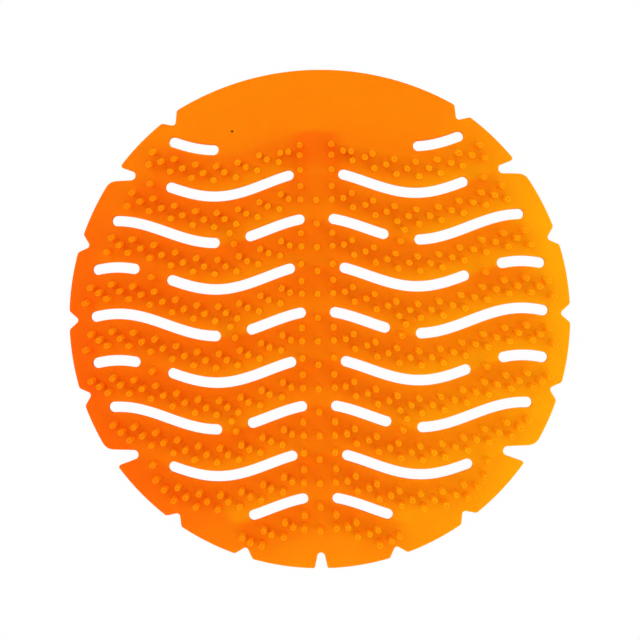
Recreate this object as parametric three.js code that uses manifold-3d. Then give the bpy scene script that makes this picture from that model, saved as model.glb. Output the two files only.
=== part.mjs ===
import * as THREE from 'three';
import { ConvexGeometry } from 'three/addons/geometries/ConvexGeometry.js';
import { mergeGeometries, mergeVertices } from 'three/addons/utils/BufferGeometryUtils.js';
import Module from 'manifold-3d';

// Round deodorizer screen for a urinal bowl, moulded in one piece of soft EVA.
// It lies flat: the underside is at Z = 0, the pins point to +Z and the plain crescent is at +Y.
// Left and right mirror each other about X = 0, so places are given by their distance from that axis.

// Sheet
const DISC_DIAMETER = 180;
const SHEET_T = 2;
const CREST_FLAT = 0.9; // the crescent's edge lies this far inside the circle at its middle
const CREST_RISE = 0.7; // and this far outside it at its two corners
const CHORD_ERROR = 0.16; // how far a facet may leave a true arc
const DISC_R = DISC_DIAMETER / 2;

// Wave that every slot and every pin row follows
const WAVE_LENGTH = 72.5;
const WAVE_AMPLITUDE = 4.27;
const ROW_PITCH = 16.8;
const CRESCENT_DEPTH = 24.93; // from the circle's top to the mean line of the first slot row
const LAST_ROW_LIFT = 0.6; // the lowest row sits this much closer to the one above

// Slots, by their tips' distances from the axis. Smile rows alternate with split rows
const SLOT_W = 3.8;
const SMILE_SLOT = [8, 54.4];
const SIDE_SLOT_START = 64.2;
const INNER_SLOT = [4.3, 25.8];
const OUTER_SLOT_START = 35;
const TOP_SLOT_LAND = 6.4; // lands are the sheet left between a slot's tip and the rim
const OUTER_SLOT_LAND = 7.8;
const SIDE_SLOT_LAND = 6.8;
const SHORTEST_SLOT = 8;
const SLOT_FACET = 7.5;
const REACH_STEP = 0.1;

// Notches round the rim
const NOTCH_COUNT = 20;
const CRESCENT_BARE_PLACES = 1; // notch places left out on each side of the one at the top
const NOTCH = { depth: 3.2, flare: 42, endR: 1.2, lipR: 1.5 };
const BOTTOM_NOTCH = { depth: 5.6, flare: 12, endR: 1.4, lipR: 0.8 };
const DEEP_NOTCH = { setback: 1.1, endR: 1.7, flare: 11, lean: 9, lipR: 0.8, outerLipR: 4.5 };

// Pins, tapered
const PIN_H = 8;
const PIN_ROOT_R = 1.3;
const PIN_TIP_R = 1;
const PIN_ROOT_SIDES = 5;
const PIN_TIP_SIDES = 4;
const PIN_RIM_LAND = 5.9; // from a pin's axis to the circle
const PIN_LAND = 0.7; // from a pin's root to any edge

// Pin rows: three between each slot row and the next
const PIN_ROW_SPACING = 2.5;
const PIN_ROWS = [
  { start: 12.6, pitch: 7.6, line: -1 },
  { start: 9.7, pitch: 7.6, line: 0 },
  { start: 13.1, pitch: 7.76, line: 1 },
];
const BARE_PLACES = { 1: 8, 2: 9 }; // band: place left bare in its middle pin row, near the rim

// Pins beside the axis, on it, and in the gaps between slot tips
const COLUMN_INSET = 2.4; // from a smile slot's inner tip towards the axis
const COLUMN_OFFSETS = [3.4, -1.3]; // above the middle of the band
const COLUMN_END_RISE = 0.9; // above the smile row
const CRESCENT_DIP = 1.9; // the first pins keep this much further from the crescent
const AXIS_FIRST_DROP = 10.5; // below the first smile row
const INNER_GAP_PINS = [[-0.8, -0.9], [0.6, 3.3]]; // from the middle of the gap in a split row
const SIDE_GAP_DROP = 1; // below a smile row, in the middle of its gap

const EVA = { color: 0xfa7008, roughness: 0.55, metalness: 0 };

const rad = THREE.MathUtils.degToRad;
const at = (x, y) => new THREE.Vector2(x, y);
const polar = (r, angle) => at(r * Math.cos(angle), r * Math.sin(angle));
const middle = (a, b) => (a + b) / 2;

const phase = (u) => (2 * Math.PI * u) / WAVE_LENGTH;
const wave = (u) => WAVE_AMPLITUDE * Math.cos(phase(u));
const waveAngle = (u) => Math.atan((-2 * Math.PI * WAVE_AMPLITUDE * Math.sin(phase(u))) / WAVE_LENGTH);

const topRowY = DISC_R - CRESCENT_DEPTH;
const rowCount = Math.floor((topRowY + DISC_R) / ROW_PITCH); // the last is a pitch or more above the bottom
const rows = Array.from({ length: rowCount }, (_, row) => row);
const isLast = (row) => row === rowCount - 1;
const isSmileRow = (row) => row % 2 === 1;
const rowY = (row) => topRowY - row * ROW_PITCH + (isLast(row) ? LAST_ROW_LIFT : 0);
const onRow = (row, u, rise = 0) => at(u, rowY(row) + wave(u) + rise);

// Slots

// How far along its row a slot can run before its tip comes too near the rim
function slotReach(row, from, land, to = DISC_R) {
  const next = (u) => Math.min(u + REACH_STEP, to);
  let u = from;
  while (u < to && onRow(row, next(u)).length() <= DISC_R - land) u = next(u);
  return u;
}

function rowSlots(row) {
  const slots = [];
  const add = (from, land, to) => slots.push([from, slotReach(row, from, land, to)]);
  if (isSmileRow(row)) {
    add(SMILE_SLOT[0], OUTER_SLOT_LAND, SMILE_SLOT[1]);
    add(SIDE_SLOT_START, SIDE_SLOT_LAND);
  } else {
    if (row > 0) add(INNER_SLOT[0], OUTER_SLOT_LAND, INNER_SLOT[1]);
    add(OUTER_SLOT_START, row > 0 ? OUTER_SLOT_LAND : TOP_SLOT_LAND);
  }
  return slots.filter(([from, to]) => to - from >= SHORTEST_SLOT);
}

function arcPoints(centre, r, from, to) {
  const facet = 2 * Math.acos(1 - CHORD_ERROR / r);
  const count = Math.max(1, Math.ceil(Math.abs(to - from) / facet));
  return Array.from({ length: count + 1 }, (_, i) => {
    return polar(r, from + ((to - from) * i) / count).add(centre);
  });
}

// Slot of constant width along the wave, with round ends
function slotOutline(side, row, [tip, farTip]) {
  const half = SLOT_W / 2;
  const from = tip + half;
  const to = farTip - half;
  const count = Math.max(1, Math.round((to - from) / SLOT_FACET));
  const places = Array.from({ length: count - 1 }, (_, i) => from + ((to - from) * (i + 1)) / count);
  const edge = (u, turn) => polar(half, waveAngle(u) + turn).add(onRow(row, u));
  const endArc = (u, turn) => {
    return arcPoints(onRow(row, u), half, waveAngle(u) + turn, waveAngle(u) + turn + Math.PI);
  };
  const points = [
    ...places.map((u) => edge(u, -Math.PI / 2)),
    ...endArc(to, -Math.PI / 2),
    ...places.reverse().map((u) => edge(u, Math.PI / 2)),
    ...endArc(from, Math.PI / 2),
  ];
  return points.map((p) => at(side * p.x, p.y));
}

function allSlotOutlines() {
  return rows.flatMap((row) => rowSlots(row).flatMap((span) => {
    return [-1, 1].map((side) => slotOutline(side, row, span));
  }));
}

// Rim with its notches

const rimCircle = { centre: at(0, 0), r: DISC_R };

// Flatter circle of the crescent's edge, through its two corners and its lowered middle
function crestCircle(cornerAngle) {
  const corner = polar(DISC_R + CREST_RISE, cornerAngle);
  const rise = DISC_R - CREST_FLAT - corner.y;
  const r = (corner.x ** 2 + rise ** 2) / (2 * rise);
  return { centre: at(0, DISC_R - CREST_FLAT - r), r };
}

// Lip of a notch: the arc that is tangent to the rim circle and to the notch's flank
function lipArc({ end, endR }, flank, side, lipR, rim) {
  const normal = polar(1, flank + (side * Math.PI) / 2);
  const across = normal.dot(end.clone().sub(rim.centre)) + endR + lipR;
  const along = Math.sqrt((rim.r - lipR) ** 2 - across ** 2);
  const offset = normal.multiplyScalar(across).add(polar(along, flank));
  return { centre: offset.clone().add(rim.centre), rimAngle: offset.angle() };
}

// Turns an angle by whole circles until it follows another
function after(angle, start) {
  return angle + 2 * Math.PI * Math.ceil((start - angle) / (2 * Math.PI));
}

// A notch runs from its clockwise lip round its end to its anticlockwise lip
function notchPoints(notch) {
  const { end, endR, axis, flare, lipRs, rims } = notch;
  const quarter = Math.PI / 2;
  const right = lipArc(notch, axis - flare, -1, lipRs[0], rims[0]);
  const left = lipArc(notch, axis + flare, 1, lipRs[1], rims[1]);
  const rightTurn = after(axis - flare + quarter, right.rimAngle);
  const leftTurn = after(left.rimAngle, axis + flare - quarter);
  return {
    from: right.rimAngle,
    to: left.rimAngle,
    points: [
      ...arcPoints(right.centre, lipRs[0], right.rimAngle, rightTurn),
      ...arcPoints(end, endR, axis - flare - quarter, axis + flare - 3 * quarter),
      ...arcPoints(left.centre, lipRs[1], axis + flare - quarter, leftTurn),
    ],
  };
}

// A side slot that is too short to close runs out through the rim instead
function deepNotches() {
  const { setback, endR, flare, lean, lipR, outerLipR } = DEEP_NOTCH;
  const u = SIDE_SLOT_START + setback + endR;
  const isOpen = (row) => isSmileRow(row)
    && slotReach(row, SIDE_SLOT_START, SIDE_SLOT_LAND) - SIDE_SLOT_START < SHORTEST_SLOT
    && onRow(row, u).length() < DISC_R - 2 * endR;
  return rows.filter(isOpen).flatMap((row) => [-1, 1].map((side) => {
    const end = onRow(row, u);
    const upper = Math.sign(end.y);
    const lipRs = [outerLipR, lipR];
    return {
      end: at(side * end.x, end.y),
      endR,
      axis: (side > 0 ? 0 : Math.PI) + side * upper * rad(lean),
      flare: rad(flare),
      lipRs: side * upper > 0 ? lipRs : lipRs.reverse(),
      rims: [rimCircle, rimCircle],
    };
  }));
}

function plainNotches() {
  const step = (2 * Math.PI) / NOTCH_COUNT;
  const places = Array.from({ length: NOTCH_COUNT }, (_, i) => i);
  const kept = places.filter((i) => Math.min(i, NOTCH_COUNT - i) > CRESCENT_BARE_PLACES);
  const crest = crestCircle(Math.PI / 2 - kept[0] * step);
  return kept.map((i) => {
    const { depth, flare, endR, lipR } = i === NOTCH_COUNT / 2 ? BOTTOM_NOTCH : NOTCH;
    const axis = Math.PI / 2 + i * step;
    return {
      end: polar(DISC_R - depth + endR, axis),
      endR,
      axis,
      flare: rad(flare),
      lipRs: [lipR, lipR],
      rims: [i === kept[0] ? crest : rimCircle, i === kept.at(-1) ? crest : rimCircle],
    };
  });
}

function rimOutline() {
  const deep = deepNotches();
  const spacing = (2 * Math.PI * DISC_R) / NOTCH_COUNT;
  const isFree = (notch) => deep.every((other) => other.end.distanceTo(notch.end) > spacing * 0.8);
  const plain = plainNotches().filter(isFree);
  const crest = plain[0].rims[0];
  const fromTop = (angle) => after(angle, Math.PI / 2);
  const notches = [...plain, ...deep].map(notchPoints);
  notches.sort((a, b) => fromTop(a.from) - fromTop(b.from));
  return notches.flatMap((notch, i) => {
    const next = notches[i + 1] ?? notches[0];
    const { centre, r } = next === notches[0] ? crest : rimCircle;
    const rim = arcPoints(centre, r, notch.to, after(next.from, notch.to));
    return [...notch.points, ...rim.slice(1, -1)];
  });
}

function sheetGeometry(rim, slots) {
  const shape = new THREE.Shape(rim);
  shape.holes = slots.map((outline) => new THREE.Path(outline));
  return new THREE.ExtrudeGeometry(shape, { depth: SHEET_T, steps: 1, bevelEnabled: false });
}

// Pins

// Pins of the band below a slot row, on one side of the axis
function bandPins(row) {
  const dip = (place) => (row === 0 ? CRESCENT_DIP / (place + 1) : 0);
  const halfPitch = ROW_PITCH / 2;
  const pins = PIN_ROWS.flatMap(({ start, pitch, line }) => {
    const count = Math.ceil((DISC_R - start) / pitch);
    return Array.from({ length: count }, (_, place) => {
      const drop = halfPitch + line * PIN_ROW_SPACING + (line < 0 && place === 0 ? dip(0) : 0);
      return line === 0 && BARE_PLACES[row] === place ? null : onRow(row, start + place * pitch, -drop);
    });
  });
  const column = SMILE_SLOT[0] - COLUMN_INSET;
  COLUMN_OFFSETS.forEach((offset, place) => {
    pins.push(onRow(row, column, offset - halfPitch - dip(place)));
  });
  if (!isLast(row) && isSmileRow(row + 1)) pins.push(onRow(row + 1, column, COLUMN_END_RISE));
  return pins.filter(Boolean);
}

// Pins in the gap between two slots of a row, on one side of the axis
function gapPins(row) {
  if (row === 0 || isLast(row)) return [];
  if (isSmileRow(row)) return [onRow(row, middle(SMILE_SLOT[1], SIDE_SLOT_START), -SIDE_GAP_DROP)];
  const gap = middle(INNER_SLOT[1], OUTER_SLOT_START);
  return INNER_GAP_PINS.map(([across, rise]) => onRow(row, gap + across, rise));
}

function axisPins() {
  const pitch = ROW_PITCH / 2;
  const first = onRow(1, 0, -AXIS_FIRST_DROP).y;
  const count = Math.floor((first + DISC_R - PIN_RIM_LAND) / pitch) + 1;
  return Array.from({ length: count }, (_, i) => at(0, first - i * pitch));
}

function distanceToOutline(point, outline) {
  return Math.min(...outline.map((a, i) => {
    const along = outline[(i + 1) % outline.length].clone().sub(a);
    const share = point.clone().sub(a).dot(along) / along.lengthSq();
    return a.clone().addScaledVector(along, THREE.MathUtils.clamp(share, 0, 1)).distanceTo(point);
  }));
}

function pinPlaces(outlines) {
  const half = rows.flatMap((row) => [...bandPins(row), ...gapPins(row)]);
  const all = [...half, ...half.map((p) => at(-p.x, p.y)), ...axisPins()];
  return all.filter((p) => p.length() <= DISC_R - PIN_RIM_LAND
    && outlines.every((outline) => distanceToOutline(p, outline) > PIN_ROOT_R + PIN_LAND));
}

function pinGeometry({ x, y }) {
  const ring = (r, sides, z) => Array.from({ length: sides }, (_, i) => {
    const p = polar(r, (2 * Math.PI * (i + 0.5)) / sides);
    return new THREE.Vector3(x + p.x, y + p.y, z);
  });
  return new ConvexGeometry([
    ...ring(PIN_ROOT_R, PIN_ROOT_SIDES, SHEET_T / 2),
    ...ring(PIN_ROOT_R, PIN_ROOT_SIDES, SHEET_T),
    ...ring(PIN_TIP_R, PIN_TIP_SIDES, SHEET_T + PIN_H),
  ]);
}

// Joining

function toSolid(wasm, geometry) {
  geometry.deleteAttribute('normal');
  geometry.deleteAttribute('uv');
  const merged = mergeVertices(geometry, 1e-4);
  const vertProperties = new Float32Array(merged.attributes.position.array);
  const triVerts = new Uint32Array(merged.index.array);
  return new wasm.Manifold(new wasm.Mesh({ numProp: 3, vertProperties, triVerts }));
}

function toGeometry(solid) {
  const { vertProperties, triVerts } = solid.getMesh();
  const geometry = new THREE.BufferGeometry();
  geometry.setAttribute('position', new THREE.BufferAttribute(vertProperties, 3));
  geometry.setIndex(new THREE.BufferAttribute(triVerts, 1));
  geometry.computeVertexNormals();
  return geometry;
}

const wasm = await Module();
wasm.setup();
const rim = rimOutline();
const slots = allSlotOutlines();
const sheet = toSolid(wasm, sheetGeometry(rim, slots));
const pins = toSolid(wasm, mergeGeometries(pinPlaces([rim, ...slots]).map(pinGeometry)));

const screen = new THREE.Mesh(toGeometry(sheet.add(pins)), new THREE.MeshStandardMaterial(EVA));
screen.name = 'screen';

const part = new THREE.Group();
part.add(screen);

export default part;
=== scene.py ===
import cmath
import math
import random

import bpy
from mathutils import Matrix, Vector
from mathutils.geometry import delaunay_2d_cdt


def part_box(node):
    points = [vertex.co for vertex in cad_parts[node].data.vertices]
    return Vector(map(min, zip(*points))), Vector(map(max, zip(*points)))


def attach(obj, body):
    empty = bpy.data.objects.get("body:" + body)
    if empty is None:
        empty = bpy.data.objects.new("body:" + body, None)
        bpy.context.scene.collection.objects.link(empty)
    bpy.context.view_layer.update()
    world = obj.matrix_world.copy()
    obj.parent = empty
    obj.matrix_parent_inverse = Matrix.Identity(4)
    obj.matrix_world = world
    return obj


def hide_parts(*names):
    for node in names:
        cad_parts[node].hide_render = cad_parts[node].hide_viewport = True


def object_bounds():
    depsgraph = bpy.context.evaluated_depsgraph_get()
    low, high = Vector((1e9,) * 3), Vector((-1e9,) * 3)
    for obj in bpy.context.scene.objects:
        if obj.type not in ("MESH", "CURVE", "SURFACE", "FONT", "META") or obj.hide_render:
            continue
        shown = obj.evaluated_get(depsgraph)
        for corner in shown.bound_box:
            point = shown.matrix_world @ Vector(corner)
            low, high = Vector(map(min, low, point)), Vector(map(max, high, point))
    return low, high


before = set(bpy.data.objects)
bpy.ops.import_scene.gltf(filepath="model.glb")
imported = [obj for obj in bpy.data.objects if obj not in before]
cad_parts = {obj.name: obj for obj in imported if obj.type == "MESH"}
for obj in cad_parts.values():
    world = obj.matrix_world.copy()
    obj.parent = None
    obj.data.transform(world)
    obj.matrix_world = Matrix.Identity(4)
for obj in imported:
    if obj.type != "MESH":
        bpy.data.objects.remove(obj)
cad_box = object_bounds()

# Lengths are in millimetres and points of the plan are complex numbers, X + iY
MM = 0.001

# Sheet and rim
DISC_R = 90
PIN_H = 8
SHEET_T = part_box("screen")[1].z / MM - PIN_H
RIM_R = cad_box[1].x / MM
CREST_FLAT = 0.9
CREST_RISE = 0.7
CHORD_ERROR = 0.012
TOP_ROUND = 0.35
BOTTOM_ROUND = 0.25
ROUND_STEPS = 4
EDGE_FLAT = 0.03  # narrow level strip beside a round edge, which keeps the faces' shading flat

# Wave of the slot rows
WAVE_LENGTH = 72.5
WAVE_AMPLITUDE = 4.27
ROW_PITCH = 16.8
CRESCENT_DEPTH = 24.93
LAST_ROW_LIFT = 0.6

# Slots
SLOT_W = 3.8
SMILE_SLOT = (8, 54.4)
SIDE_SLOT_START = 64.2
INNER_SLOT = (4.3, 25.8)
OUTER_SLOT_START = 35
TOP_SLOT_LAND = 6.4  # lands are the sheet left between a slot's tip and the rim
OUTER_SLOT_LAND = 7.8
SIDE_SLOT_LAND = 6.8
SHORTEST_SLOT = 8
SLOT_FACET = 1.5
REACH_STEP = 0.1

# Notches
NOTCH_COUNT = 20
CRESCENT_BARE_PLACES = 1
NOTCH_SPACING_SHARE = 0.8
NOTCH = {"depth": 3.2, "flare": 42, "end_r": 1.2, "lip_r": 1.5}
BOTTOM_NOTCH = {"depth": 5.6, "flare": 12, "end_r": 1.4, "lip_r": 0.8}
DEEP_NOTCH = {"setback": 1.1, "end_r": 1.7, "flare": 11, "lean": 9, "lip_r": 0.8, "outer_lip_r": 4.5}

# Pins
PIN_ROOT_R = 1.13
PIN_TIP_R = 1.05
PIN_SIDES = 12
PIN_FILLET = 0.25
PIN_TIP_ROUND = 0.3
PIN_DIMPLE = 0.3
DIMPLE_RING_SHARE = 0.75
FILLET_STEPS = 2
TIP_STEPS = 3

# Lean of the pins: how far the tip of a pin at the middle is shifted, how much further inwards for
# each millimetre from the middle, how far it strays, and the power of the height that it grows with
PIN_LEAN = complex(0.3, -0.75)
PIN_LEAN_PULL = (0.004, 0.013)
PIN_LEAN_SPREAD = 0.2
PIN_BEND = 1.5
PIN_SEED = 7

# Colours, as they look on a screen, from the deepest orange, which is painted shade, to the amber of the
# rim, which is painted light; the orange between is the EVA's own colour
ORANGE_IN_PAINTED_SHADE = (253, 96, 3)
ORANGE = (253, 133, 2)
ORANGE_IN_PAINTED_LIGHT = (254, 168, 3)
DIRT = (92, 34, 8)
SPECK_PLACE = (-30, 67.3)
SPECK_R = 0.43
SPECK_EDGE = (0.7, 1.4)
SPECK_SHARE = 0.95

# Warmth is how far a colour has gone from deep orange, 0, which is painted shade, to amber, 1,
# which is painted light; at 0.5 it is the EVA's own orange. A range gives where a tone starts and ends
# and, where they aren't 0 and 1, its values there. The places are along X or Y, or rows of slots counted
# down from the first one
# painted shade at the left of the sheet, going over into painted light towards the right
SHEET_PAINTED_SHADE_TO_LIGHT = (-70, 60, 0.31, 0.6)
ORANGE_WARMTH = 0.5
CRESCENT_WARMTH = 0.5
CRESCENT_EDGE = (0.08, 0.22)
SLOT_SHARE = SLOT_W / 2 / ROW_PITCH
# painted light along the upper edge of each slot row and below the last row at the right; just below each
# slot row the sheet keeps its painted shade
SLOT_LIGHT = (-70, -25, 0.1, 0.38)
SLOT_LIGHT_START = (0.05, 0.72)
SLOT_LIGHT_END = (0.86, 1, 1, 0)
DIM_X = 10  # the painted light along the slots is weakest here
DIM_EDGE = (8, 34, 0.3, 1)
LAST_ROW_SIDES = (INNER_SLOT[1], 40, 0, 0.9)
LAST_ROW_RISE = (0.9, 0.4)
LAST_ROW_LIGHT = (-50, 30, 0, 0.2)
# painted light at the lower right of the sheet
PAINTED_LIGHT_CORNER_ACROSS = (5, 75)
PAINTED_LIGHT_CORNER_DOWN = (25, -60, 0, 0.24)
# painted shade on a strip along the middle, from the crescent down to the second row of slots
STRIP_ACROSS = (4, 12, 1, 0)
STRIP_DOWN = (0.7, 1.1, 1, 0)
STRIP_PAINTED_SHADE = -0.25

# Painted shade and light of the rim, by the distance from the middle and the side of the disc: painted
# shade at the left, painted light at the right
RIM_EDGE = (77, 85)
RIM_PAINTED_SHADE = (-92, -35, 0.1, CRESCENT_WARMTH)
RIM_SLANT = 0.25
LOW_RIGHT_PAINTED_LIGHT = (30, 100, 0, 0.12)
PAINTED_LIGHT_RIM_EDGE = (72, 86)
PAINTED_LIGHT_RIM_TURN = (0.3, 0.98)
PAINTED_LIGHT_RIM_SLANT = -0.14

# Painted light of the pins, by the height, and the small random changes of tone everywhere
PIN_PAINTED_LIGHT = 0.3
PIN_SHEET_SHARE = 0.5
PIN_TONE_H = 1.8
TIP_RING_PAINTED_LIGHT = 0.08
TIP_RING_H = 0.05
FLANK_PAINTED_LIGHT = 0.17
FLANK_END_H = 1.2
CLOUD_SIZE = 14
CLOUD_WARMTH = 0.12
MOTTLE_SIZE = 1.1
MOTTLE_WARMTH = 0.09

# Surface of the EVA
ROUGHNESS = 0.58
ROUGHNESS_SPREAD = 0.2
GRAIN_SIZE = 0.35
GRAIN_DETAIL = 3
GRAIN_H = 0.05
GRAIN_STRENGTH = 0.12
GLOSS = 0.03
TRANSLUCENCE = 0.6
SCATTER_COLOUR = (1, 0.4, 0.08)
SCATTER_DEPTH = 3

# Floor, light and camera
FLOOR_HALF = 3000
FLOOR_GAP = 0.02
FLOOR_TONE = 0.85
FLOOR_ROUGHNESS = 0.9
FLOOR_WHITE_SHARE = 0.96
WORLD_LIGHT = 0.92
CAMERA_PLACE = (13.5, -7.8, 379.6)
CAMERA_TARGET = (0.7, -1.15, 0)
CAMERA_ROLL = 0.8
CAMERA_LENS = 59.3
CAMERA_SENSOR = 36

# Limits of the mesh
DOUBLE = 1e-4  # points nearer than this are one
FILL_TOLERANCE = 1e-6
TRIANGLES_INSIDE = 1  # the form in which delaunay_2d_cdt gives the faces
TIP_BAND = 0.01  # how far under the top a point still belongs to a pin's tip


# Plan of the slots

def wave(u):
    return WAVE_AMPLITUDE * math.cos(math.tau * u / WAVE_LENGTH)


def wave_angle(u):
    slope = math.tau * WAVE_AMPLITUDE / WAVE_LENGTH
    return math.atan(-slope * math.sin(math.tau * u / WAVE_LENGTH))


TOP_ROW_Y = DISC_R - CRESCENT_DEPTH
ROW_COUNT = math.floor((TOP_ROW_Y + DISC_R) / ROW_PITCH)


def is_smile_row(row):
    return row % 2 == 1


def row_y(row):
    lift = LAST_ROW_LIFT if row == ROW_COUNT - 1 else 0
    return TOP_ROW_Y - row * ROW_PITCH + lift


def on_row(row, u):
    return complex(u, row_y(row) + wave(u))


def slot_reach(row, start, land, end=DISC_R):
    u = start
    while u < end and abs(on_row(row, min(u + REACH_STEP, end))) <= DISC_R - land:
        u = min(u + REACH_STEP, end)
    return u


def row_slots(row):
    if is_smile_row(row):
        first = (SMILE_SLOT[0], slot_reach(row, SMILE_SLOT[0], OUTER_SLOT_LAND, SMILE_SLOT[1]))
        second = (SIDE_SLOT_START, slot_reach(row, SIDE_SLOT_START, SIDE_SLOT_LAND))
        spans = [first, second]
    else:
        land = OUTER_SLOT_LAND if row > 0 else TOP_SLOT_LAND
        spans = [(OUTER_SLOT_START, slot_reach(row, OUTER_SLOT_START, land))]
        if row > 0:
            spans.append((INNER_SLOT[0], slot_reach(row, INNER_SLOT[0], OUTER_SLOT_LAND, INNER_SLOT[1])))
    return [span for span in spans if span[1] - span[0] >= SHORTEST_SLOT]


def arc(centre, r, start, end):
    facet = 2 * math.acos(1 - CHORD_ERROR / r)
    count = max(1, math.ceil(abs(end - start) / facet))
    return [centre + cmath.rect(r, start + (end - start) * i / count) for i in range(count + 1)]


def slot_outline(side, row, span):
    half = SLOT_W / 2
    start = span[0] + half
    end = span[1] - half
    count = max(1, round((end - start) / SLOT_FACET))
    places = [start + (end - start) * i / count for i in range(1, count)]
    quarter = math.pi / 2

    def edge(u, turn):
        return on_row(row, u) + cmath.rect(half, wave_angle(u) + turn)

    def end_arc(u, turn):
        return arc(on_row(row, u), half, wave_angle(u) + turn, wave_angle(u) + turn + math.pi)

    points = [edge(u, -quarter) for u in places] + end_arc(end, -quarter)
    points += [edge(u, quarter) for u in reversed(places)] + end_arc(start, quarter)
    return [complex(side * p.real, p.imag) for p in points]


def slot_outlines():
    return [
        slot_outline(side, row, span)
        for row in range(ROW_COUNT) for span in row_slots(row) for side in (-1, 1)
    ]


# Plan of the rim

RIM_CIRCLE = (0j, RIM_R)


def crest_circle(corner_angle):
    corner = cmath.rect(RIM_R + CREST_RISE, corner_angle)
    rise = RIM_R - CREST_FLAT - corner.imag
    r = (corner.real ** 2 + rise ** 2) / (2 * rise)
    return (complex(0, RIM_R - CREST_FLAT - r), r)


def after(angle, start):
    return angle + math.tau * math.ceil((start - angle) / math.tau)


def dot(a, b):
    return a.real * b.real + a.imag * b.imag


def lip_arc(end, end_r, flank, side, lip_r, circle):
    """The arc tangent to the rim circle and to the notch's flank: its centre and its angle on the rim."""
    normal = cmath.rect(1, flank + side * math.pi / 2)
    across = dot(normal, end - circle[0]) + end_r + lip_r
    along = math.sqrt((circle[1] - lip_r) ** 2 - across ** 2)
    offset = normal * across + cmath.rect(along, flank)
    return offset + circle[0], cmath.phase(offset)


def notch_points(notch):
    end, end_r, axis, flare = notch["end"], notch["end_r"], notch["axis"], notch["flare"]
    lips, circles = notch["lips"], notch["circles"]
    quarter = math.pi / 2
    right, right_angle = lip_arc(end, end_r, axis - flare, -1, lips[0], circles[0])
    left, left_angle = lip_arc(end, end_r, axis + flare, 1, lips[1], circles[1])
    right_turn = after(axis - flare + quarter, right_angle)
    left_turn = after(left_angle, axis + flare - quarter)
    points = arc(right, lips[0], right_angle, right_turn)
    points += arc(end, end_r, axis - flare - quarter, axis + flare - 3 * quarter)
    points += arc(left, lips[1], axis + flare - quarter, left_turn)
    return {"start": right_angle, "stop": left_angle, "points": points}


def is_open_row(row):
    """True where the side slot is too short to close and runs out through the rim."""
    u = SIDE_SLOT_START + DEEP_NOTCH["setback"] + DEEP_NOTCH["end_r"]
    reach = slot_reach(row, SIDE_SLOT_START, SIDE_SLOT_LAND) - SIDE_SLOT_START
    inside = abs(on_row(row, u)) < DISC_R - 2 * DEEP_NOTCH["end_r"]
    return is_smile_row(row) and reach < SHORTEST_SLOT and inside


def deep_notches():
    u = SIDE_SLOT_START + DEEP_NOTCH["setback"] + DEEP_NOTCH["end_r"]
    notches = []
    for row in filter(is_open_row, range(ROW_COUNT)):
        for side in (-1, 1):
            end = on_row(row, u)
            upper = math.copysign(1, end.imag)
            lips = [DEEP_NOTCH["outer_lip_r"], DEEP_NOTCH["lip_r"]]
            notches.append({
                "end": complex(side * end.real, end.imag),
                "end_r": DEEP_NOTCH["end_r"],
                "axis": (0 if side > 0 else math.pi) + side * upper * math.radians(DEEP_NOTCH["lean"]),
                "flare": math.radians(DEEP_NOTCH["flare"]),
                "lips": lips if side * upper > 0 else lips[::-1],
                "circles": [RIM_CIRCLE, RIM_CIRCLE],
            })
    return notches


def plain_notches():
    step = math.tau / NOTCH_COUNT
    kept = [i for i in range(NOTCH_COUNT) if min(i, NOTCH_COUNT - i) > CRESCENT_BARE_PLACES]
    crest = crest_circle(math.pi / 2 - kept[0] * step)
    notches = []
    for i in kept:
        form = BOTTOM_NOTCH if i == NOTCH_COUNT / 2 else NOTCH
        axis = math.pi / 2 + i * step
        notches.append({
            "end": cmath.rect(RIM_R - form["depth"] + form["end_r"], axis),
            "end_r": form["end_r"],
            "axis": axis,
            "flare": math.radians(form["flare"]),
            "lips": [form["lip_r"], form["lip_r"]],
            "circles": [crest if i == kept[0] else RIM_CIRCLE, crest if i == kept[-1] else RIM_CIRCLE],
        })
    return notches


def rim_outline():
    deep = deep_notches()
    nearest = math.tau * DISC_R / NOTCH_COUNT * NOTCH_SPACING_SHARE
    plain = [n for n in plain_notches() if all(abs(d["end"] - n["end"]) > nearest for d in deep)]
    crest = plain[0]["circles"][0]
    cuts = sorted(map(notch_points, plain + deep), key=lambda n: after(n["start"], math.pi / 2))
    outline = []
    for i, cut in enumerate(cuts):
        following = cuts[(i + 1) % len(cuts)]
        centre, r = crest if following is cuts[0] else RIM_CIRCLE
        stretch = arc(centre, r, cut["stop"], after(following["start"], cut["stop"]))
        outline += cut["points"] + stretch[1:-1]
    return outline


# Mesh

def without_doubles(points):
    return [p for i, p in enumerate(points) if abs(p - points[i - 1]) > DOUBLE]


def is_anticlockwise(points):
    return sum((a.conjugate() * b).imag for a, b in zip(points[-1:] + points, points)) > 0


def turned(points, anticlockwise):
    return points if is_anticlockwise(points) == anticlockwise else points[::-1]


def inset(points, distance):
    """The outline moved to its left, into the sheet."""
    moved = []
    for i, p in enumerate(points):
        before = p - points[i - 1]
        following = points[(i + 1) % len(points)] - p
        a = 1j * before / abs(before)
        b = 1j * following / abs(following)
        moved.append(p + (a + b) * distance / (1 + dot(a, b)))
    return moved


def quarter_steps(count):
    return [math.pi / 2 * i / count for i in range(count + 1)]


def edge_profile():
    """Insets and heights from the underside round the edge to the upper face."""
    bottom = [
        (BOTTOM_ROUND * (1 - math.sin(a)), BOTTOM_ROUND * (1 - math.cos(a)))
        for a in quarter_steps(ROUND_STEPS)
    ]
    top = [
        (TOP_ROUND * (1 - math.cos(a)), SHEET_T - TOP_ROUND * (1 - math.sin(a)))
        for a in quarter_steps(ROUND_STEPS)
    ]
    return [(BOTTOM_ROUND + EDGE_FLAT, 0)] + bottom + top + [(TOP_ROUND + EDGE_FLAT, SHEET_T)]


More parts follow.
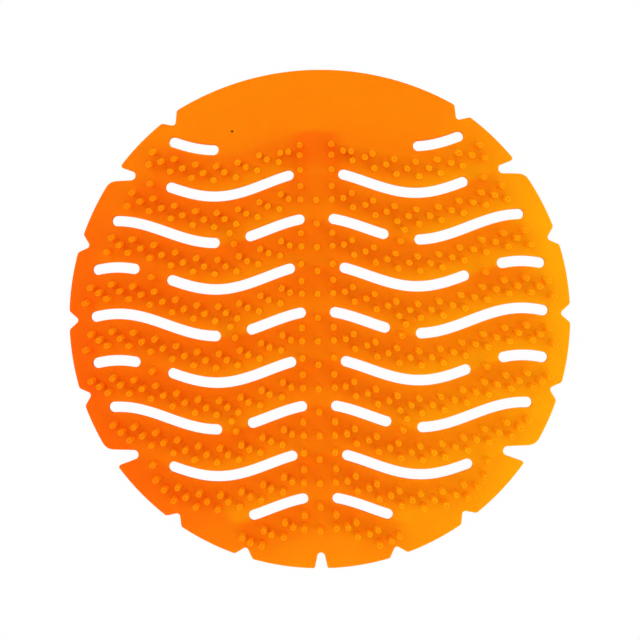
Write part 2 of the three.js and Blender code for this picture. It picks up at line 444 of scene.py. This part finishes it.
def pin_profile(top):
    """Radii and heights from the sheet up over the round edge of the pin's tip, into its dimple."""
    fillet = [
        (PIN_ROOT_R + PIN_FILLET * (1 - math.sin(a)), SHEET_T + PIN_FILLET * (1 - math.cos(a)))
        for a in quarter_steps(FILLET_STEPS)
    ]
    edge = [
        (PIN_TIP_R - PIN_TIP_ROUND * (1 - math.cos(a)), top - PIN_TIP_ROUND * (1 - math.sin(a)))
        for a in quarter_steps(TIP_STEPS)
    ]
    dimple = [((PIN_TIP_R - PIN_TIP_ROUND) / 2, top - PIN_DIMPLE * DIMPLE_RING_SHARE)]
    return [(PIN_ROOT_R + PIN_FILLET + EDGE_FLAT, SHEET_T)] + fillet + edge + dimple


class Surface:
    """Points in millimetres and the faces between them."""

    def __init__(self):
        self.points = []
        self.faces = []

    def ring(self, plan, z):
        first = len(self.points)
        self.points += [(p.real, p.imag, z) for p in plan]
        return list(range(first, len(self.points)))

    def band(self, lower, upper):
        for i in range(len(lower)):
            self.faces.append((lower[i - 1], lower[i], upper[i], upper[i - 1]))

    def loft(self, rings):
        for lower, upper in zip(rings, rings[1:]):
            self.band(lower, upper)

    def fill(self, rings, upwards):
        """Covers the flat area inside the first ring and outside the others."""
        plans = [[complex(*self.points[i][:2]) for i in ring] for ring in rings]
        rings = [ring if is_anticlockwise(plan) else ring[::-1] for ring, plan in zip(rings, plans)]
        indices = [i for ring in rings for i in ring]
        place = {index: i for i, index in enumerate(indices)}
        loops = [[place[i] for i in ring] for ring in rings]
        plan = [Vector(self.points[i][:2]) for i in indices]
        filled = delaunay_2d_cdt(plan, [], loops, TRIANGLES_INSIDE, FILL_TOLERANCE)
        _, _, faces, origins, _, sources = filled
        for face, source in zip(faces, sources):
            if list(source) == [0]:
                corners = [indices[origins[i][0]] for i in face]
                self.faces.append(tuple(corners if upwards else corners[::-1]))

    def mesh(self, name):
        mesh = bpy.data.meshes.new(name)
        mesh.from_pydata([Vector(p) * MM for p in self.points], [], self.faces)
        mesh.validate()
        mesh.polygons.foreach_set("use_smooth", [True] * len(mesh.polygons))
        return mesh


def pin_places():
    """Plan places of the pins, from the flat tips of the CAD model's pins."""
    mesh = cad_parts["screen"].data
    top = cad_box[1].z - TIP_BAND * MM
    corners = {}
    for face in mesh.polygons:
        points = [mesh.vertices[i].co for i in face.vertices]
        if all(p.z > top for p in points):
            keys = {(round(p.x / MM, 2), round(p.y / MM, 2)) for p in points}
            shared = [corners[k] for k in keys if k in corners]
            group = set().union(keys, *shared)
            corners.update({k: group for k in group})
    groups = {frozenset(group) for group in corners.values()}
    return sorted(
        (sum(x for x, _ in group) / len(group), sum(y for _, y in group) / len(group))
        for group in groups
    )


def add_pin(surface, x, y, top, dice):
    """Adds one pin and returns its root ring. The soft pins lean inwards, each a little differently."""
    root = complex(x, y)
    lean = PIN_LEAN - complex(PIN_LEAN_PULL[0] * x, PIN_LEAN_PULL[1] * y)
    lean += cmath.rect(PIN_LEAN_SPREAD * dice.random(), math.tau * dice.random())
    rings = []
    for r, z in pin_profile(top):
        centre = root + lean * ((z - SHEET_T) / PIN_H) ** PIN_BEND
        circle = [centre + cmath.rect(r, math.tau * i / PIN_SIDES) for i in range(PIN_SIDES)]
        rings.append(surface.ring(circle, z))
    surface.loft(rings)
    tip = surface.ring([root + lean], top - PIN_DIMPLE)[0]
    last = rings[-1]
    for i in range(PIN_SIDES):
        surface.faces.append((last[i - 1], last[i], tip))
    return rings[0]


def screen_mesh():
    surface = Surface()
    outlines = [turned(without_doubles(rim_outline()), True)]
    outlines += [turned(without_doubles(slot), False) for slot in slot_outlines()]
    lowest = []
    highest = []
    for outline in outlines:
        rings = [surface.ring(inset(outline, d), z) for d, z in edge_profile()]
        surface.loft(rings)
        lowest.append(rings[0])
        highest.append(rings[-1])
    dice = random.Random(PIN_SEED)
    top = cad_box[1].z / MM
    roots = [add_pin(surface, x, y, top, dice) for x, y in pin_places()]
    surface.fill(lowest, upwards=False)
    surface.fill(highest + roots, upwards=True)
    return surface.mesh("screen_surface")


# Materials

def linear(colour):
    def channel(value):
        value /= 255
        return value / 12.92 if value <= 0.04045 else ((value + 0.055) / 1.055) ** 2.4
    return (*map(channel, colour), 1)


def add_node(tree, kind, inputs=None, **settings):
    """Adds a node. An input is a plain value or the output socket it is linked to."""
    node = tree.nodes.new(kind)
    for name, value in settings.items():
        setattr(node, name, value)
    for key, value in (inputs or {}).items():
        if isinstance(value, bpy.types.NodeSocket):
            tree.links.new(value, node.inputs[key])
        else:
            node.inputs[key].default_value = value
    return node


def calc(tree, operation, *values):
    return add_node(tree, "ShaderNodeMath", dict(enumerate(values)), operation=operation).outputs[0]


def rise(tree, value, low, high, to_low=0, to_high=1):
    """Goes smoothly from one value to another as the input goes from low to high."""
    inputs = {0: value, 1: low, 2: high, 3: to_low, 4: to_high}
    return add_node(tree, "ShaderNodeMapRange", inputs, interpolation_type="SMOOTHSTEP").outputs[0]


def blend(tree, share, a, b):
    return add_node(tree, "ShaderNodeMix", {0: share, 2: a, 3: b}).outputs[0]


def noise(tree, place, size, detail=2):
    """Noise of about that size in millimetres, from -0.5 to 0.5."""
    inputs = {"Vector": place, "Scale": 1 / size, "Detail": detail}
    value = add_node(tree, "ShaderNodeTexNoise", inputs).outputs["Fac"]
    return calc(tree, "SUBTRACT", value, 0.5)


def row_depth(tree, x, y):
    """How many rows of slots a point lies below the middle line of the first one."""
    turn = calc(tree, "COSINE", calc(tree, "MULTIPLY", x, math.tau / WAVE_LENGTH))
    first_row = calc(tree, "MULTIPLY_ADD", turn, WAVE_AMPLITUDE, TOP_ROW_Y)
    return calc(tree, "DIVIDE", calc(tree, "SUBTRACT", first_row, y), ROW_PITCH)


def slot_painted_light(tree, x, from_axis, depth):
    """Painted light along the upper edge of each slot row, and below the last row at the right."""
    phase = calc(tree, "FRACT", calc(tree, "SUBTRACT", depth, SLOT_SHARE))
    start = rise(tree, phase, *SLOT_LIGHT_START)
    light = calc(tree, "MULTIPLY", start, rise(tree, phase, *SLOT_LIGHT_END))
    light = calc(tree, "MULTIPLY", light, rise(tree, x, *SLOT_LIGHT))
    off_dim = calc(tree, "ABSOLUTE", calc(tree, "SUBTRACT", x, DIM_X))
    light = calc(tree, "MULTIPLY", light, rise(tree, off_dim, *DIM_EDGE))
    lowest = calc(tree, "ADD", depth, rise(tree, from_axis, *LAST_ROW_SIDES))
    below = rise(tree, lowest, *(ROW_COUNT - row for row in LAST_ROW_RISE))
    return blend(tree, below, light, rise(tree, x, *LAST_ROW_LIGHT))


def sheet_painted_light_and_shade(tree, x, y):
    """The sheet's painted shade is deepest at the left and along the middle strip, and painted light
    makes it lighter above the slots and at the lower right. The crescent keeps the EVA's own orange.
    """
    depth = row_depth(tree, x, y)
    from_axis = calc(tree, "ABSOLUTE", x)
    light = slot_painted_light(tree, x, from_axis, depth)
    corner = calc(tree, "MULTIPLY", rise(tree, x, *PAINTED_LIGHT_CORNER_ACROSS), rise(tree, y, *PAINTED_LIGHT_CORNER_DOWN))
    field = calc(tree, "ADD", rise(tree, x, *SHEET_PAINTED_SHADE_TO_LIGHT), calc(tree, "ADD", light, corner))
    painted_shade_strip = calc(tree, "MULTIPLY", rise(tree, from_axis, *STRIP_ACROSS), rise(tree, depth, *STRIP_DOWN))
    field = calc(tree, "MULTIPLY_ADD", painted_shade_strip, STRIP_PAINTED_SHADE, field)
    return blend(tree, rise(tree, depth, *CRESCENT_EDGE), CRESCENT_WARMTH, field)


def rim_painted_light_and_shade(tree, x, y, warmth):
    """The bare rim has painted shade at the left, the EVA's own orange at the top and bottom, a little
    painted light at the lower right, and amber painted light at the right.
    """
    squares = calc(tree, "MULTIPLY_ADD", x, x, calc(tree, "MULTIPLY", y, y))
    radius = calc(tree, "SQRT", squares)
    plain = rise(tree, calc(tree, "MULTIPLY_ADD", y, RIM_SLANT, x), *RIM_PAINTED_SHADE)
    low_right = rise(tree, calc(tree, "SUBTRACT", x, y), *LOW_RIGHT_PAINTED_LIGHT)
    plain = calc(tree, "ADD", plain, low_right)
    warmth = blend(tree, rise(tree, radius, *RIM_EDGE), warmth, plain)
    towards = calc(tree, "MULTIPLY_ADD", y, PAINTED_LIGHT_RIM_SLANT, x)
    lit = rise(tree, calc(tree, "DIVIDE", towards, radius), *PAINTED_LIGHT_RIM_TURN)
    return blend(tree, calc(tree, "MULTIPLY", rise(tree, radius, *PAINTED_LIGHT_RIM_EDGE), lit), warmth, 1)


def pin_painted_light(tree, z, warmth):
    """A pin adds half the sheet's painted light and shade to painted light of its own. Its flank and the
    edge of its tip get more painted light.
    """
    top = SHEET_T + PIN_H
    height = rise(tree, z, SHEET_T, SHEET_T + PIN_TONE_H)
    pin = calc(tree, "MULTIPLY_ADD", warmth, PIN_SHEET_SHARE, PIN_PAINTED_LIGHT)
    warmth = blend(tree, height, warmth, pin)
    ring = rise(tree, z, top - PIN_DIMPLE, top - TIP_RING_H, 0, TIP_RING_PAINTED_LIGHT)
    warmth = calc(tree, "ADD", warmth, ring)
    flank = calc(tree, "MULTIPLY", height, rise(tree, z, top - FLANK_END_H, top - PIN_DIMPLE, 1, 0))
    return calc(tree, "MULTIPLY_ADD", flank, FLANK_PAINTED_LIGHT, warmth)


def with_speck(tree, place, colour):
    """The colour with the one small dark speck on the crescent."""
    middle = (*SPECK_PLACE, SHEET_T)
    offset = add_node(tree, "ShaderNodeVectorMath", {0: place, 1: middle}, operation="DISTANCE")
    edge = (SPECK_R * share for share in SPECK_EDGE)
    speck = rise(tree, offset.outputs["Value"], *edge, SPECK_SHARE, 0)
    inputs = {0: speck, 6: colour, 7: linear(DIRT)}
    return add_node(tree, "ShaderNodeMix", inputs, data_type="RGBA").outputs[2]


def eva_colour(tree, place):
    axes = add_node(tree, "ShaderNodeSeparateXYZ", {0: place}).outputs
    x, y, z = axes[0], axes[1], axes[2]
    # painted light and shade of the sheet, its rim and its pins, then small random changes of tone
    warmth = rim_painted_light_and_shade(tree, x, y, sheet_painted_light_and_shade(tree, x, y))
    warmth = pin_painted_light(tree, z, warmth)
    warmth = calc(tree, "MULTIPLY_ADD", noise(tree, place, CLOUD_SIZE), CLOUD_WARMTH, warmth)
    warmth = calc(tree, "MULTIPLY_ADD", noise(tree, place, MOTTLE_SIZE), MOTTLE_WARMTH, warmth)
    # the ramp runs from the orange in painted shade through the EVA's own orange to the orange in painted
    # light
    ramp = add_node(tree, "ShaderNodeValToRGB", {0: warmth})
    colours = ramp.color_ramp.elements
    colours[0].color = linear(ORANGE_IN_PAINTED_SHADE)
    colours[1].color = linear(ORANGE_IN_PAINTED_LIGHT)
    colours.new(ORANGE_WARMTH).color = linear(ORANGE)
    return with_speck(tree, place, ramp.outputs[0])


def eva_material():
    """Soft matte EVA that lets a little light through."""
    material = bpy.data.materials.new("orange_eva")
    material.use_nodes = True
    tree = material.node_tree
    shader = tree.nodes["Principled BSDF"]
    where = add_node(tree, "ShaderNodeTexCoord").outputs["Object"]
    place = add_node(tree, "ShaderNodeVectorMath", {0: where, 3: 1 / MM}, operation="SCALE").outputs[0]
    tree.links.new(eva_colour(tree, place), shader.inputs["Base Color"])
    grain = noise(tree, place, GRAIN_SIZE, GRAIN_DETAIL)
    roughness = calc(tree, "MULTIPLY_ADD", grain, ROUGHNESS_SPREAD, ROUGHNESS)
    tree.links.new(roughness, shader.inputs["Roughness"])
    relief = {"Strength": GRAIN_STRENGTH, "Distance": GRAIN_H * MM, "Height": grain}
    bump = add_node(tree, "ShaderNodeBump", relief)
    tree.links.new(bump.outputs[0], shader.inputs["Normal"])
    shader.inputs["Specular IOR Level"].default_value = GLOSS
    shader.inputs["Subsurface Weight"].default_value = TRANSLUCENCE
    shader.inputs["Subsurface Radius"].default_value = SCATTER_COLOUR
    shader.inputs["Subsurface Scale"].default_value = SCATTER_DEPTH * MM
    return material


def seen_directly(tree):
    """1 for rays that show the background itself, in the camera, in a reflection or through glass."""
    rays = add_node(tree, "ShaderNodeLightPath").outputs
    direct = calc(tree, "MAXIMUM", rays["Is Camera Ray"], rays["Is Glossy Ray"])
    return calc(tree, "MAXIMUM", direct, rays["Is Transmission Ray"])


def floor_material():
    """White floor that keeps a faint shadow."""
    material = bpy.data.materials.new("white_floor")
    material.use_nodes = True
    tree = material.node_tree
    paper = tree.nodes["Principled BSDF"]
    paper.inputs["Base Color"].default_value = (FLOOR_TONE, FLOOR_TONE, FLOOR_TONE, 1)
    paper.inputs["Roughness"].default_value = FLOOR_ROUGHNESS
    white = add_node(tree, "ShaderNodeEmission", {"Strength": 1.0})
    share = calc(tree, "MULTIPLY", seen_directly(tree), FLOOR_WHITE_SHARE)
    mix = add_node(tree, "ShaderNodeMixShader", {0: share, 1: paper.outputs[0], 2: white.outputs[0]})
    tree.links.new(mix.outputs[0], tree.nodes["Material Output"].inputs[0])
    return material


# Scene

def link(name, data):
    thing = bpy.data.objects.new(name, data)
    bpy.context.scene.collection.objects.link(thing)
    return thing


def make_screen():
    piece = link("screen_surface", screen_mesh())
    piece.data.materials.append(eva_material())
    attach(piece, "root")
    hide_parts("screen")


def make_floor():
    half = FLOOR_HALF * MM
    gap = FLOOR_GAP * MM
    corners = [(-half, -half, -gap), (half, -half, -gap), (half, half, -gap), (-half, half, -gap)]
    mesh = bpy.data.meshes.new("floor")
    mesh.from_pydata(corners, [], [(0, 1, 2, 3)])
    floor = link("floor", mesh)
    floor.data.materials.append(floor_material())


def make_world():
    world = bpy.data.worlds.new("studio")
    bpy.context.scene.world = world
    world.use_nodes = True
    tree = world.node_tree
    strength = blend(tree, seen_directly(tree), WORLD_LIGHT, 1.0)
    tree.links.new(strength, tree.nodes["Background"].inputs["Strength"])
    tree.nodes["Background"].inputs["Color"].default_value = (1, 1, 1, 1)


def make_lamp(name, place, size, energy):
    lamp = bpy.data.lights.new(name, "AREA")
    lamp.shape = "DISK"
    lamp.size = size
    lamp.energy = energy
    thing = link(name, lamp)
    thing.location = place
    thing.rotation_euler = (-Vector(place)).to_track_quat("-Z", "Y").to_euler()


def make_camera():
    """The camera looks almost straight down, from a little to the lower right of the middle."""
    place = Vector(CAMERA_PLACE) * MM
    target = Vector(CAMERA_TARGET) * MM
    roll = math.radians(CAMERA_ROLL)
    data = bpy.data.cameras.new("camera")
    data.sensor_width = CAMERA_SENSOR
    data.lens = CAMERA_LENS
    back = (place - target).normalized()
    right = Vector((math.sin(roll), math.cos(roll), 0)).cross(back).normalized()
    up = back.cross(right)
    camera = link("camera", data)
    turn = Matrix((right, up, back)).transposed()
    camera.matrix_world = Matrix.Translation(place) @ turn.to_4x4()
    bpy.context.scene.camera = camera


make_screen()
make_floor()
make_world()
make_lamp("key", place=(0.5, -0.35, 0.75), size=0.7, energy=1.5)
make_lamp("fill", place=(-0.5, 0.3, 0.9), size=0.9, energy=1.3)
make_camera()

bpy.context.scene.view_settings.view_transform = "Standard"
